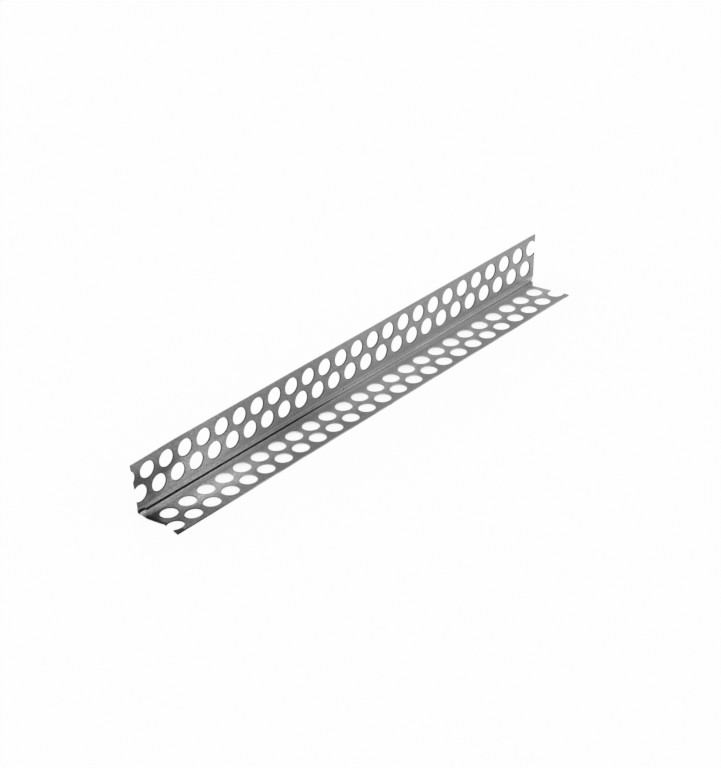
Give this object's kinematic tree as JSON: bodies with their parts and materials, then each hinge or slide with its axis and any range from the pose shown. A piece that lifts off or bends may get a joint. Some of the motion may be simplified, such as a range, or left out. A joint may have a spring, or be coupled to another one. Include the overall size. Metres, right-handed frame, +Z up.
{
  "type": "drywall corner bead",
  "caption": "Perforated metal angle with a folded nose and staggered round holes in both flanges, fixed over an outside wall corner before plastering.",
  "frame": {"origin": "bottom centre of the bounding box, on the floor that the bead lies on", "axes": "+X along the bead from the near end to the far end, +Z up, the standing flange on the +Y side"},
  "size_m": [0.251, 0.0244, 0.0244],
  "materials": {
    "galvanised_sheet": "galvanised sheet, rolled and punched, dull grey"
  },
  "bodies": {
    "root": {"corner_bead": "galvanised_sheet"}
  },
  "joints": []
}
